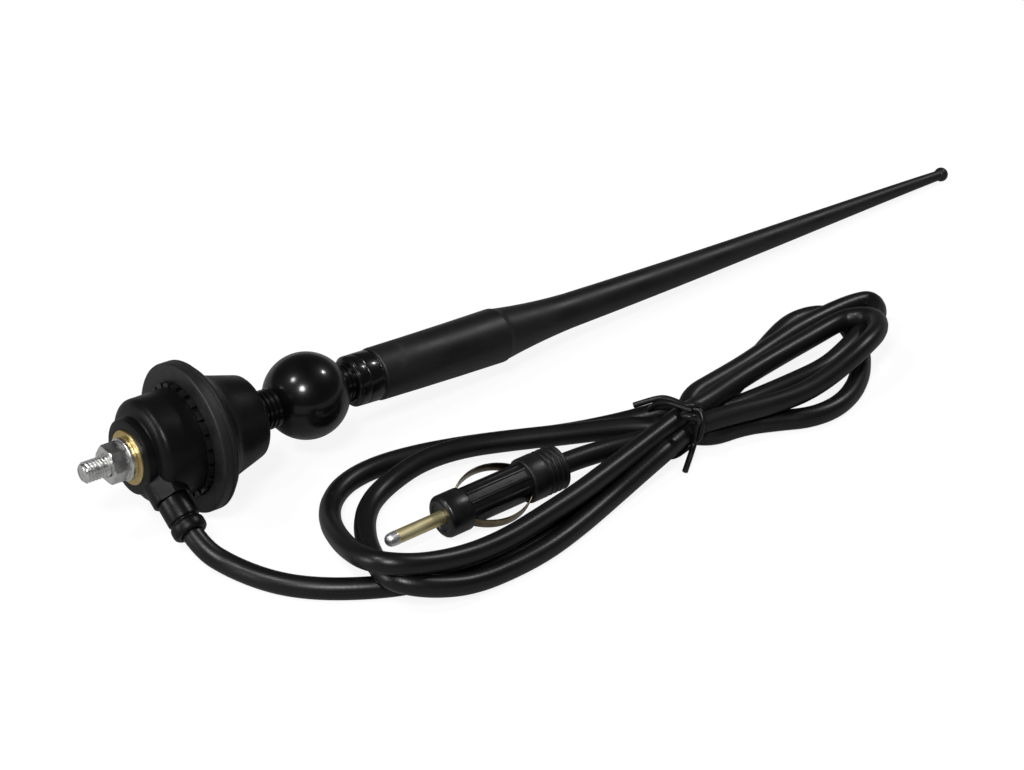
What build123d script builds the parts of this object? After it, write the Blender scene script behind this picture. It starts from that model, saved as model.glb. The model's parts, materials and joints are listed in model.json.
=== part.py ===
# Car mast aerial lying on a floor: a clamped base with a split ball, a rubber mast that tilts
# on the ball, and a tied hank of cable that ends in a radio plug.
# Millimetres. +Z is up, Z = 0 is the floor and +X runs from the stud to the mast's tip.
# Stations along the aerial's own axis are counted from the ball's centre: minus towards the
# stud, plus towards the tip.
import os
from math import asin, atan2, cos, degrees, hypot, radians, sin, sqrt, tan

from build123d import *

os.makedirs("parts", exist_ok=True)

# Clearances
fit_gap = 0.1
pivot_gap = 0.1
knuckle_gap = 0.3
tie_gap = 0.3

# Split ball
ball_r = 10.2
neck_r = 4.7
mast_neck_r = 4.5
split_roll = 24.0
split_gap = 0.1

# Ball screw and its washer
screw_r = 1.5
screw_head_r = 2.7
screw_head_t = 2.0
screw_reach = 6.0
screw_seat = 5.4
screw_slot_w = 0.8
screw_slot_d = 1.0
lock_washer_t = 0.8

# Base dome
dome_top_gap = 5.6
dome_len = 14.2
dome_top_r = 8.6
dome_round_len = 1.2
dome_round_r = 9.95
dome_r = 12.4
skirt_len = 4.4
skirt_r = 16.3
skirt_edge_r = 16.8
skirt_edge_t = 0.9
spigot_r = 7.5
spigot_end = 1.0
shank_len = 20.0

# Flange pad
pad_r = 17.5
pad_t = 3.5
pad_chamfer = 0.9
pad_groove_at = 2.3
pad_groove_w = 0.4
pad_groove_d = 0.3

# Toothed earth ring
ring_r = 13.2
ring_t = 1.1
ring_recess = 0.3
ring_notches = 24
ring_notch_w = 1.3
ring_notch_d = 1.1

# Lower barrel
barrel_r = 12.2
barrel_len = 12.8
shoulder_len = 4.4
shoulder_mid_len = 2.9
shoulder_mid_r = 11.0
lip_len = 2.4
lip_r = 8.8
lip_chamfer = 0.5
bush_seat = 2.0

# Cable boss on the barrel, measured outwards from the aerial's axis
boss_drop = 30.0
boss_back = 8.7
boss_root = 8.0
boss_r = 4.5
boss_end = 13.2
boss_bore_floor = 10.0

# Cable grommet
stem_r = 2.9
collar_r = 3.75
collar_len = 5.5
waist_r = 3.3
waist_len = 0.4
bead_r = 4.0
bead_len = 3.1
bead_round = 0.7
grommet_bore_len = 3.4

# Contact bush, washer, nut and stud
bush_flange_r = 6.4
bush_r = 4.0
bush_proud = 0.5
washer_r = 5.0
washer_t = 1.4
nut_across_flats = 8.0
nut_t = 4.0
nut_chamfer = 0.4
nut_corner_r = nut_across_flats / 2 / cos(radians(30))
stud_r = 2.45
stud_chamfer = 0.5
stud_tail = 6.0
stud_top_gap = 4.0

# Inner wire
wire_r = 0.6
wire_hole_r = 0.9

# Mast
mast_len = 208.5
tip_r = 1.9
tip_neck_r = 1.35
mast_spigot_r = 3.0
mast_spigot_len = 11.5
ferrule_gap = 1.1
ferrule_chamfer = 1.2
ferrule_len = 7.4
ferrule_r = 6.15
ferrule_end_r = 5.2
ridge_at = 3.2
ridge_w = 0.5
ridge_h = 0.2
sleeve_r = 6.4
sleeve_end_r = 6.75
sleeve_len = 36.8
flare_step = 0.25
flare_mid_len = 10.5
flare_mid_r = 5.2
flare_len = 22.5
flare_end_r = 4.36
taper_mid_len = 88.5
taper_mid_r = 2.89
insert_r = 4.2
insert_len = 15.3
core_r = 0.8
core_end_gap = 6.0

# Cable
cable_r = 2.5
cable_gap = 0.1

# Plug, measured from the pin's tip
plug_x = -11.3
plug_y = -46.1
plug_yaw = -0.95
plug_roll = 24.0
plug_lift = 0.35
pin_r = 1.6
solder_len = 3.0
nose_at = 14.9
nose_r = 4.2
nose_len = 0.8
head_r = 5.0
head_len = 5.3
body_len = 16.7
body_r = 4.4
body_flat = 4.0
rib_w = 0.8
rib_top_r = 4.8
rib_count = 12
spring_w = 2.8
spring_t = 0.4
spring_bow = 7.0
spring_end_gap = 0.3
boot_r = 5.35
boot_len = 10.4
boot_plain_len = 4.2
boot_rib_d = 0.6
boot_ribs = 4
boot_end_r = 3.6
boot_end_len = 0.8
boot_bore_len = 4.0
pin_inside = 18.0

# Hank and its tie
hank_h = 12.0
hank_round = 1.5
tie_x = 70.0
tie_w = 2.4
tie_t = 0.6
tie_groove_w = 5.0
tie_groove_d = 1.0
waist_back_y = -44.6
waist_front_y = -59.0
knot_r = 1.3
knot_h = 2.4
tail_w = 1.8

# Stations along the aerial's axis
dome_s = -(ball_r + dome_top_gap)
pad_s = dome_s - dome_len
ring_s = pad_s - pad_t
barrel_s = ring_s - ring_t
barrel_end_s = barrel_s - barrel_len
bush_s = barrel_end_s - bush_proud
nut_s = bush_s - washer_t
stud_free_s = nut_s - nut_t
stud_end_s = stud_free_s - stud_tail
shank_end_s = -(ball_r + shank_len)
stud_top_s = -(ball_r + stud_top_gap)
spigot_end_s = barrel_s - spigot_end
seat_s = barrel_end_s + bush_seat
boss_s = barrel_s - boss_back
ferrule_s = ball_r + ferrule_gap
ferrule_seat_s = ferrule_s + ferrule_chamfer
ferrule_end_s = ferrule_s + ferrule_len
mast_spigot_end_s = ferrule_seat_s + mast_spigot_len
insert_end_s = ferrule_end_s + insert_len
sleeve_end_s = ferrule_end_s + sleeve_len
flare_end_s = sleeve_end_s + flare_len
taper_mid_s = sleeve_end_s + taper_mid_len
core_end_s = mast_len - core_end_gap
tip_neck_s = mast_len - sqrt(tip_r**2 - tip_neck_r**2)

# The aerial lies on the pad's rim and on its tip bead, which sets its pitch and its height.
rest_span = mast_len - pad_s
pitch = atan2(pad_r, rest_span) - asin(tip_r / hypot(rest_span, pad_r))
ball_z = tip_r + mast_len * sin(pitch)

# The origin is under the middle of the aerial, cable left out.
grommet_end = boss_end + collar_len + waist_len + bead_len
stud_low_x = stud_end_s * cos(pitch) - (stud_r - stud_chamfer) * sin(pitch)
tip_high_x = mast_len * cos(pitch) + tip_r
drop = radians(boss_drop)
grommet_low_y = -grommet_end * cos(drop) - (bead_r - bead_round) * sin(drop)
ball_x = -(stud_low_x + tip_high_x) / 2
ball_y = -(pad_r + grommet_low_y) / 2

# Directions and planes of the aerial
ball = Vector(ball_x, ball_y, ball_z)
along = Vector(cos(pitch), 0, -sin(pitch))
upward = Vector(sin(pitch), 0, cos(pitch))
sideways = Vector(0, -1, 0)
roll = radians(split_roll)
hinge_dir = sideways * cos(roll) + upward * sin(roll)
boss_dir = sideways * cos(drop) - upward * sin(drop)
boss_foot = ball + along * boss_s

lathe = Plane(origin=ball, x_dir=along, z_dir=sideways)
mast_axis = Axis(ball, along)
split = Plane(origin=ball, x_dir=along, z_dir=along.cross(hinge_dir))
hinge_axis = Axis(ball, hinge_dir)
boss_lathe = Plane(origin=boss_foot, x_dir=boss_dir, z_dir=along)
boss_axis = Axis(boss_foot, boss_dir)

# Directions and planes of the plug, which lies level, rolled so that its far spring is the higher
yaw = radians(plug_yaw)
plug_turn = radians(plug_roll)
plug_dir = Vector(cos(yaw), sin(yaw), 0)
plug_side = Vector(-sin(yaw), cos(yaw), 0)
plug_up = Vector(0, 0, 1) * cos(plug_turn) - plug_side * sin(plug_turn)
plug_tip_at = Vector(ball_x + plug_x, ball_y + plug_y, boot_r + plug_lift)
plug_lathe = Plane(origin=plug_tip_at, x_dir=plug_dir, z_dir=plug_dir.cross(Vector(0, 0, 1)))
plug_bow = Plane(origin=plug_tip_at, x_dir=plug_dir, z_dir=plug_up)
plug_axis = Axis(plug_tip_at, plug_dir)
head_at = nose_at + nose_len
body_at = head_at + head_len
boot_at = body_at + body_len
boot_end = boot_at + boot_len

# Threaded stud
with BuildPart() as threaded_stud:
    with BuildSketch(lathe):
        with BuildLine():
            Polyline(
                (stud_end_s, 0),
                (stud_end_s, stud_r - stud_chamfer),
                (stud_end_s + stud_chamfer, stud_r),
                (stud_top_s, stud_r),
                (stud_top_s, 0),
                close=True,
            )
        make_face()
    revolve(axis=mast_axis)

# Nut
with BuildPart() as clamp_nut:
    with BuildSketch(Plane(origin=ball + along * stud_free_s, x_dir=sideways, z_dir=along)):
        RegularPolygon(radius=nut_across_flats / 2, side_count=6, major_radius=False)
        Circle(stud_r + fit_gap, mode=Mode.SUBTRACT)
    extrude(amount=nut_t)
    with BuildSketch(lathe):
        with BuildLine():
            Polyline(
                (stud_free_s, 0),
                (stud_free_s, nut_across_flats / 2),
                (stud_free_s + nut_chamfer, nut_corner_r),
                (nut_s, nut_corner_r),
                (nut_s, 0),
                close=True,
            )
        make_face()
    revolve(axis=mast_axis, mode=Mode.INTERSECT)

# Washer
with BuildPart() as flat_washer:
    with BuildSketch(Plane(origin=ball + along * nut_s, x_dir=sideways, z_dir=along)):
        Circle(washer_r)
        Circle(stud_r + fit_gap, mode=Mode.SUBTRACT)
    extrude(amount=washer_t)

# Brass bush that takes the cable's signal to the stud
with BuildPart() as contact_bush:
    with BuildSketch(lathe):
        with BuildLine():
            Polyline(
                (bush_s, stud_r + fit_gap),
                (bush_s, bush_flange_r),
                (seat_s, bush_flange_r),
                (seat_s, bush_r),
                (spigot_end_s, bush_r),
                (spigot_end_s, stud_r + fit_gap),
                close=True,
            )
        make_face()
    revolve(axis=mast_axis)

# Barrel below the panel, with the boss that the cable leaves by
with BuildPart() as lower_barrel:
    with BuildSketch(lathe):
        with BuildLine():
            Polyline(
                (barrel_s, spigot_r + fit_gap),
                (barrel_s, barrel_r),
                (barrel_end_s + shoulder_len, barrel_r),
                (barrel_end_s + shoulder_mid_len, shoulder_mid_r),
                (barrel_end_s + lip_len, lip_r),
                (barrel_end_s + lip_chamfer, lip_r),
                (barrel_end_s, lip_r - lip_chamfer),
                (barrel_end_s, bush_flange_r + fit_gap),
                (seat_s, bush_flange_r + fit_gap),
                (seat_s, bush_r + fit_gap),
                (spigot_end_s, bush_r + fit_gap),
                (spigot_end_s, spigot_r + fit_gap),
                close=True,
            )
        make_face()
    revolve(axis=mast_axis)
    with BuildSketch(Plane(origin=boss_foot + boss_dir * boss_root, x_dir=along, z_dir=boss_dir)):
        Circle(boss_r)
    extrude(amount=boss_end - boss_root)
    with BuildSketch(Plane(origin=boss_foot + boss_dir * boss_bore_floor, x_dir=along, z_dir=boss_dir)):
        Circle(stem_r + fit_gap)
    extrude(amount=boss_end - boss_bore_floor, mode=Mode.SUBTRACT)
    with BuildSketch(Plane(origin=boss_foot, x_dir=along, z_dir=boss_dir)):
        Circle(wire_hole_r)
    extrude(amount=boss_bore_floor, mode=Mode.SUBTRACT)

# Toothed ring that bites into the underside of the panel, seated in the pad's recess
with BuildPart() as earth_ring:
    with BuildSketch(Plane(origin=ball + along * barrel_s, x_dir=sideways, z_dir=along)):
        Circle(ring_r)
        Circle(spigot_r + fit_gap, mode=Mode.SUBTRACT)
        with PolarLocations(ring_r, ring_notches):
            Rectangle(2 * ring_notch_d, ring_notch_w, mode=Mode.SUBTRACT)
    extrude(amount=ring_t + ring_recess)

# Rubber pad that lies on top of the panel
with BuildPart() as flange_pad:
    with BuildSketch(lathe):
        with BuildLine():
            Polyline(
                (ring_s + ring_recess, spigot_r + fit_gap),
                (ring_s + ring_recess, ring_r + fit_gap),
                (ring_s, ring_r + fit_gap),
                (ring_s, pad_r - pad_chamfer),
                (ring_s + pad_chamfer, pad_r),
                (ring_s + pad_groove_at, pad_r),
                (ring_s + pad_groove_at, pad_r - pad_groove_d),
                (ring_s + pad_groove_at + pad_groove_w, pad_r - pad_groove_d),
                (ring_s + pad_groove_at + pad_groove_w, pad_r),
                (pad_s, pad_r),
                (pad_s, spigot_r + fit_gap),
                close=True,
            )
        make_face()
    revolve(axis=mast_axis)

# Dome, its skirt and the spigot that centres pad, ring and barrel
dome_turn = radians(45)
dome_round_w = dome_round_r - dome_top_r
with BuildPart() as base_dome:
    with BuildSketch(lathe):
        with BuildLine():
            Line((dome_s, neck_r + fit_gap), (dome_s, dome_top_r))
            ThreePointArc(
                (dome_s, dome_top_r),
                (dome_s - dome_round_len * (1 - cos(dome_turn)), dome_top_r + dome_round_w * sin(dome_turn)),
                (dome_s - dome_round_len, dome_round_r),
            )
            Polyline(
                (dome_s - dome_round_len, dome_round_r),
                (pad_s + skirt_len, dome_r),
                (pad_s + skirt_edge_t, skirt_r),
                (pad_s, skirt_edge_r),
                (pad_s, spigot_r),
                (spigot_end_s, spigot_r),
                (spigot_end_s, stud_r + fit_gap),
                (shank_end_s, stud_r + fit_gap),
                (shank_end_s, neck_r + fit_gap),
                (dome_s, neck_r + fit_gap),
            )
        make_face()
    revolve(axis=mast_axis)

# Base half of the split ball: half ball, neck and the shank that the stud screws into
ball_neck_s = sqrt(ball_r**2 - neck_r**2)
clear_r = ball_r + knuckle_gap
counterbore_r = screw_head_r + fit_gap
with BuildPart() as base_ball_half:
    with BuildSketch(lathe):
        with BuildLine():
            Line((-ball_neck_s, neck_r), (shank_end_s, neck_r))
            Line((shank_end_s, neck_r), (shank_end_s, 0))
            Line((shank_end_s, 0), (ball_r, 0))
            ThreePointArc((ball_r, 0), (0, ball_r), (-ball_neck_s, neck_r))
        make_face()
    revolve(axis=mast_axis)
    with BuildSketch(split):
        with BuildLine():
            Line((0, 0), (clear_r, 0))
            CenterArc((0, 0), clear_r, 0, 90)
            Line((0, clear_r), (0, 0))
        make_face()
    revolve(axis=hinge_axis, mode=Mode.SUBTRACT)
    with BuildSketch(Plane(origin=ball + along * shank_end_s, x_dir=sideways, z_dir=along)):
        Circle(stud_r + fit_gap)
    extrude(amount=stud_top_s - shank_end_s, mode=Mode.SUBTRACT)
    with BuildSketch(split):
        with BuildLine():
            Polyline(
                (0, -clear_r),
                (counterbore_r, -clear_r),
                (counterbore_r, -screw_seat),
                (screw_r + fit_gap, -screw_seat),
                (screw_r + fit_gap, clear_r),
                (0, clear_r),
                close=True,
            )
        make_face()
    revolve(axis=hinge_axis, mode=Mode.SUBTRACT)

# Spring washer under the screw's head
with BuildPart() as spring_washer:
    with BuildSketch(Plane(origin=ball - hinge_dir * screw_seat, x_dir=along, z_dir=hinge_dir * -1)):
        Circle(screw_head_r)
        Circle(screw_r + fit_gap, mode=Mode.SUBTRACT)
    extrude(amount=lock_washer_t)

# Ball screw: its shank is the pin that the mast half turns on
head_seat = screw_seat + lock_washer_t
with BuildPart() as ball_screw:
    with BuildSketch(split):
        with BuildLine():
            Polyline(
                (0, screw_reach),
                (screw_r, screw_reach),
                (screw_r, -head_seat),
                (screw_head_r, -head_seat),
                (screw_head_r, -head_seat - screw_head_t),
                (0, -head_seat - screw_head_t),
                close=True,
            )
        make_face()
    revolve(axis=hinge_axis)
    slot_at = ball - hinge_dir * (head_seat + screw_head_t)
    with BuildSketch(Plane(origin=slot_at, x_dir=along, z_dir=hinge_dir)):
        Rectangle(screw_slot_w, 3 * screw_head_r)
    extrude(amount=screw_slot_d, mode=Mode.SUBTRACT)

# Grommet that holds the cable in the boss
collar_end = boss_end + collar_len
bead_at = collar_end + waist_len
grommet_floor = grommet_end - grommet_bore_len
with BuildPart() as cable_grommet:
    with BuildSketch(boss_lathe):
        with BuildLine():
            Polyline(
                (boss_bore_floor, wire_hole_r),
                (boss_bore_floor, stem_r),
                (boss_end, stem_r),
                (boss_end, collar_r),
                (collar_end, collar_r),
                (collar_end, waist_r),
                (bead_at, waist_r),
                (bead_at + bead_round, bead_r),
                (grommet_end - bead_round, bead_r),
                (grommet_end, bead_r - bead_round),
                (grommet_end, cable_r + cable_gap),
                (grommet_floor, cable_r + cable_gap),
                (grommet_floor, wire_hole_r),
                close=True,
            )
        make_face()
    revolve(axis=boss_axis)

# Cable's inner wire, from the end of the cable to the bush
with BuildPart() as core_wire:
    with BuildSketch(Plane(origin=boss_foot + boss_dir * (bush_r + fit_gap), x_dir=along, z_dir=boss_dir)):
        Circle(wire_r)
    extrude(amount=grommet_floor - bush_r - fit_gap)

# Mast half of the split ball: half ball, neck and the spigot that the ferrule and insert sit on
mast_ball_neck_s = sqrt(ball_r**2 - mast_neck_r**2)
with BuildPart() as mast_ball_half:
    with BuildSketch(lathe):
        with BuildLine():
            ThreePointArc((-ball_r, 0), (0, ball_r), (mast_ball_neck_s, mast_neck_r))
            Polyline(
                (mast_ball_neck_s, mast_neck_r),
                (ferrule_seat_s, mast_neck_r),
                (ferrule_seat_s, mast_spigot_r),
                (mast_spigot_end_s, mast_spigot_r),
                (mast_spigot_end_s, 0),
                (-ball_r, 0),
            )
        make_face()
    revolve(axis=mast_axis)
    with BuildSketch(split):
        with BuildLine():
            Line((0, -clear_r), (0, split_gap))
            Line((0, split_gap), (clear_r, split_gap))
            Line((clear_r, split_gap), (clear_r, 0))
            CenterArc((0, 0), clear_r, 0, -90)
        make_face()
    revolve(axis=hinge_axis, mode=Mode.SUBTRACT)
    with BuildSketch(Plane(origin=ball, x_dir=along, z_dir=hinge_dir)):
        Circle(screw_r + pivot_gap)
    extrude(amount=screw_reach + knuckle_gap, mode=Mode.SUBTRACT)

# Glossy ferrule
with BuildPart() as ferrule:
    with BuildSketch(lathe):
        with BuildLine():
            Polyline(
                (ferrule_s, mast_neck_r + fit_gap),
                (ferrule_s, ferrule_end_r),
                (ferrule_s + ferrule_chamfer, ferrule_r),
                (ferrule_s + ridge_at, ferrule_r),
                (ferrule_s + ridge_at, ferrule_r + ridge_h),
                (ferrule_s + ridge_at + ridge_w, ferrule_r + ridge_h),
                (ferrule_s + ridge_at + ridge_w, ferrule_r),
                (ferrule_end_s, ferrule_r),
                (ferrule_end_s, mast_spigot_r + fit_gap),
                (ferrule_seat_s, mast_spigot_r + fit_gap),
                (ferrule_seat_s, mast_neck_r + fit_gap),
                close=True,
            )
        make_face()
    revolve(axis=mast_axis)

# Brass insert in the foot of the rubber
with BuildPart() as mast_insert:
    with BuildSketch(lathe):
        with BuildLine():
            Polyline(
                (ferrule_end_s, mast_spigot_r + fit_gap),
                (ferrule_end_s, insert_r),
                (insert_end_s, insert_r),
                (insert_end_s, core_r + fit_gap),
                (mast_spigot_end_s, core_r + fit_gap),
                (mast_spigot_end_s, mast_spigot_r + fit_gap),
                close=True,
            )
        make_face()
    revolve(axis=mast_axis)

# Whip wire in the rubber
with BuildPart() as mast_core:
    with BuildSketch(Plane(origin=ball + along * mast_spigot_end_s, x_dir=sideways, z_dir=along)):
        Circle(core_r)
    extrude(amount=core_end_s - mast_spigot_end_s)

# Rubber mast: sleeve, flare, long taper and tip bead in one moulding
with BuildPart() as mast_rubber:
    with BuildSketch(lathe):
        with BuildLine():
            Polyline(
                (core_end_s, 0),
                (core_end_s, core_r + fit_gap),
                (insert_end_s, core_r + fit_gap),
                (insert_end_s, insert_r + fit_gap),
                (ferrule_end_s, insert_r + fit_gap),
                (ferrule_end_s, sleeve_r),
                (sleeve_end_s, sleeve_end_r),
                (sleeve_end_s + flare_step, sleeve_end_r - flare_step),
            )
            ThreePointArc(
                (sleeve_end_s + flare_step, sleeve_end_r - flare_step),
                (sleeve_end_s + flare_mid_len, flare_mid_r),
                (flare_end_s, flare_end_r),
            )
            Polyline(
                (flare_end_s, flare_end_r),
                (taper_mid_s, taper_mid_r),
                (tip_neck_s, tip_neck_r),
            )
            ThreePointArc((tip_neck_s, tip_neck_r), (mast_len, tip_r), (mast_len + tip_r, 0))
            Line((mast_len + tip_r, 0), (core_end_s, 0))
        make_face()
    revolve(axis=mast_axis)


# Cable: radius of each bend, from the runs on either side of it
def bend_radii(points):
    radii = []
    for before, here, after in zip(points, points[1:], points[2:]):
        run_in = here - before
        run_out = after - here
        half_turn = radians(run_in.get_angle(run_out)) / 2
        radii.append(0.45 * min(run_in.length, run_out.length) / tan(half_turn))
    return radii


# Point of the cable's lay on the floor, given from the spot under the ball
def lay(x, y, z):
    return Vector(ball_x + x, ball_y + y, z)


# Cable from the grommet down to the floor and round to the hank
lead_points = [
    boss_foot + boss_dir * grommet_floor,
    boss_foot + boss_dir * (grommet_end + 3.6),
    lay(-40.5, -29.2, cable_r),
    lay(-36.5, -39.5, cable_r),
    lay(-30.5, -47.0, cable_r),
    lay(-22.0, -53.5, cable_r),
]
lead_radii = bend_radii(lead_points)
print("cable_lead bend radii", [round(r, 1) for r in lead_radii])
with BuildPart() as cable_lead:
    with BuildLine() as lead_path:
        FilletPolyline(*lead_points, radius=lead_radii)
    with BuildSketch(Plane(origin=lead_points[0], z_dir=boss_dir)):
        Circle(cable_r)
    sweep()

# Hank: outer shape of the tied loops, with the opening that the plug lies in
hank_outline = [
    (66.0, waist_back_y),
    (46.0, -32.0),
    (19.0, -18.6),
    (1.0, -14.8),
    (-13.0, -21.0),
    (-21.5, -37.0),
    (-23.5, -54.0),
    (-16.0, -68.0),
    (2.0, -73.8),
    (24.0, -71.0),
    (48.0, -64.0),
    (66.0, waist_front_y),
    (77.0, waist_front_y),
    (90.0, -64.5),
    (104.0, -68.5),
    (117.0, -65.5),
    (128.0, -56.5),
    (141.0, -48.0),
    (144.5, -40.0),
    (137.5, -34.0),
    (130.0, -29.0),
    (117.0, -30.0),
    (100.0, -37.5),
    (77.0, waist_back_y),
]
hank_opening = [
    (58.0, -49.5),
    (49.0, -41.0),
    (26.0, -30.0),
    (10.0, -27.0),
    (-3.0, -31.0),
    (-12.8, -43.0),
    (-14.2, -51.5),
    (-7.0, -58.0),
    (5.0, -60.0),
    (28.0, -58.0),
]
outline_corners = [Vector(*point) for point in hank_outline]
opening_corners = [Vector(*point) for point in hank_opening]
outline_radii = bend_radii([outline_corners[-1]] + outline_corners + [outline_corners[0]])
opening_radii = bend_radii([opening_corners[-1]] + opening_corners + [opening_corners[0]])
with BuildPart() as cable_hank:
    with BuildSketch(Plane(origin=(ball_x, ball_y, 0), x_dir=(1, 0, 0), z_dir=(0, 0, 1))):
        with BuildLine():
            FilletPolyline(*hank_outline, radius=outline_radii, close=True)
        make_face()
        with BuildLine():
            FilletPolyline(*hank_opening, radius=opening_radii, close=True)
        make_face(mode=Mode.SUBTRACT)
    extrude(amount=hank_h)
    fillet(cable_hank.edges().filter_by_position(Axis.Z, hank_h, hank_h), radius=hank_round)
    with BuildSketch(Plane(origin=(ball_x + tie_x, ball_y + waist_back_y, 0), x_dir=(0, 1, 0), z_dir=(1, 0, 0))):
        Rectangle(4 * hank_h, 2 * tie_groove_d)
    extrude(amount=tie_groove_w / 2, both=True, mode=Mode.SUBTRACT)

# Twist tie round the waist of the hank, with its knot and two ends
tie_y = (waist_back_y + waist_front_y) / 2
tie_inner_w = waist_back_y - waist_front_y + 2 * tie_gap
tie_low = tie_groove_d - tie_gap
tie_high = hank_h + tie_gap
tie_mid = (tie_low + tie_high) / 2
tie_top = tie_high + tie_t
with BuildPart() as twist_tie:
    with BuildSketch(Plane(origin=lay(tie_x, tie_y, tie_mid), x_dir=(0, 1, 0), z_dir=(1, 0, 0))):
        Rectangle(tie_inner_w + 2 * tie_t, tie_high - tie_low + 2 * tie_t)
        Rectangle(tie_inner_w, tie_high - tie_low, mode=Mode.SUBTRACT)
    extrude(amount=tie_w / 2, both=True)
    with BuildSketch(Plane(origin=lay(tie_x, tie_y, tie_high), x_dir=(1, 0, 0), z_dir=(0, 0, 1))):
        Circle(knot_r)
    extrude(amount=knot_h)
    with BuildSketch(Plane(origin=lay(0, 0, tie_high), x_dir=(1, 0, 0), z_dir=(0, 0, 1))):
        with BuildLine():
            Polyline((59.0, -47.0), (65.0, -49.5), (tie_x, tie_y))
        trace(line_width=tail_w)
        with BuildLine():
            Polyline((60.5, -56.0), (66.0, -56.5), (tie_x, tie_y))
        trace(line_width=tail_w)
    extrude(amount=tie_t)

# Cable from the hank to the plug's boot
boot_floor = boot_end - boot_bore_len
tail_points = [
    plug_tip_at + plug_dir * boot_floor,
    plug_tip_at + plug_dir * (boot_end + 3.0),
    lay(51.0, -48.0, 5.0),
    lay(59.5, -50.5, 5.0),
]
tail_radii = bend_radii(tail_points)
print("cable_tail bend radii", [round(r, 1) for r in tail_radii])
with BuildPart() as cable_tail:
    with BuildLine() as tail_path:
        FilletPolyline(*tail_points, radius=tail_radii)
    with BuildSketch(Plane(origin=tail_points[0], z_dir=plug_dir)):
        Circle(cable_r)
    sweep()

# Solder tip of the plug's pin
tip_turn = pin_r * cos(radians(45))
with BuildPart() as plug_tip:
    with BuildSketch(plug_lathe):
        with BuildLine():
            ThreePointArc((0, 0), (pin_r - tip_turn, tip_turn), (pin_r, pin_r))
            Polyline((pin_r, pin_r), (solder_len, pin_r), (solder_len, 0), (0, 0))
        make_face()
    revolve(axis=plug_axis)

# Pin
with BuildPart() as plug_pin:
    with BuildSketch(Plane(origin=plug_tip_at + plug_dir * solder_len, z_dir=plug_dir)):
        Circle(pin_r)
    extrude(amount=nose_at + pin_inside - solder_len)

# Head of the plug, with its chamfered nose
with BuildPart() as plug_head:
    with BuildSketch(plug_lathe):
        with BuildLine():
            Polyline(
                (nose_at, pin_r + fit_gap),
                (nose_at, nose_r),
                (head_at, head_r),
                (body_at, head_r),
                (body_at, pin_r + fit_gap),
                close=True,
            )
        make_face()
    revolve(axis=plug_axis)

# Ribbed body of the plug, flat on the two sides that carry springs
with BuildPart() as plug_body:
    with BuildSketch(Plane(origin=plug_tip_at + plug_dir * body_at, x_dir=plug_up, z_dir=plug_dir)):
        Circle(body_r)
        with PolarLocations(0, rib_count):
            Rectangle(rib_top_r, rib_w, align=(Align.MIN, Align.CENTER))
        Rectangle(3 * rib_top_r, 2 * body_flat, mode=Mode.INTERSECT)
        Circle(pin_r + fit_gap, mode=Mode.SUBTRACT)
    extrude(amount=body_len)

# Bowed springs either side of the plug
spring_low = body_at + spring_end_gap
spring_high = boot_at - spring_end_gap
spring_mid = (spring_low + spring_high) / 2
with BuildPart() as plug_spring_far:
    with BuildSketch(plug_bow):
        with BuildLine():
            ThreePointArc((spring_low, body_flat), (spring_mid, spring_bow), (spring_high, body_flat))
            Line((spring_high, body_flat), (spring_high, body_flat + spring_t))
            ThreePointArc(
                (spring_high, body_flat + spring_t),
                (spring_mid, spring_bow + spring_t),
                (spring_low, body_flat + spring_t),
            )
            Line((spring_low, body_flat + spring_t), (spring_low, body_flat))
        make_face()
    extrude(amount=spring_w / 2, both=True)

with BuildPart() as plug_spring_near:
    with BuildSketch(plug_bow):
        with BuildLine():
            ThreePointArc((spring_low, -body_flat), (spring_mid, -spring_bow), (spring_high, -body_flat))
            Line((spring_high, -body_flat), (spring_high, -body_flat - spring_t))
            ThreePointArc(
                (spring_high, -body_flat - spring_t),
                (spring_mid, -spring_bow - spring_t),
                (spring_low, -body_flat - spring_t),
            )
            Line((spring_low, -body_flat - spring_t), (spring_low, -body_flat))
        make_face()
    extrude(amount=spring_w / 2, both=True)

# Rubber boot of the plug, ringed at the cable's end
rib_from = boot_at + boot_plain_len
rib_pitch = (boot_end - boot_end_len - rib_from) / boot_ribs
boot_profile = [(boot_at, 0), (boot_at, boot_r), (rib_from, boot_r)]
for k in range(boot_ribs):
    rib_at = rib_from + k * rib_pitch
    boot_profile.append((rib_at + rib_pitch / 4, boot_r - boot_rib_d))
    boot_profile.append((rib_at + rib_pitch / 2, boot_r - boot_rib_d))
    boot_profile.append((rib_at + rib_pitch * 3 / 4, boot_r))
    boot_profile.append((rib_at + rib_pitch, boot_r))
boot_profile.append((boot_end, boot_end_r))
boot_profile.append((boot_end, cable_r + cable_gap))
boot_profile.append((boot_floor, cable_r + cable_gap))
boot_profile.append((boot_floor, 0))
with BuildPart() as plug_boot:
    with BuildSketch(plug_lathe):
        with BuildLine():
            Polyline(*boot_profile, close=True)
        make_face()
    revolve(axis=plug_axis)

threaded_stud.part.label = "threaded_stud"
export_step(threaded_stud.part, "parts/threaded_stud.step")
clamp_nut.part.label = "clamp_nut"
export_step(clamp_nut.part, "parts/clamp_nut.step")
flat_washer.part.label = "flat_washer"
export_step(flat_washer.part, "parts/flat_washer.step")
contact_bush.part.label = "contact_bush"
export_step(contact_bush.part, "parts/contact_bush.step")
lower_barrel.part.label = "lower_barrel"
export_step(lower_barrel.part, "parts/lower_barrel.step")
earth_ring.part.label = "earth_ring"
export_step(earth_ring.part, "parts/earth_ring.step")
flange_pad.part.label = "flange_pad"
export_step(flange_pad.part, "parts/flange_pad.step")
base_dome.part.label = "base_dome"
export_step(base_dome.part, "parts/base_dome.step")
base_ball_half.part.label = "base_ball_half"
export_step(base_ball_half.part, "parts/base_ball_half.step")
spring_washer.part.label = "spring_washer"
export_step(spring_washer.part, "parts/spring_washer.step")
ball_screw.part.label = "ball_screw"
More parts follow.
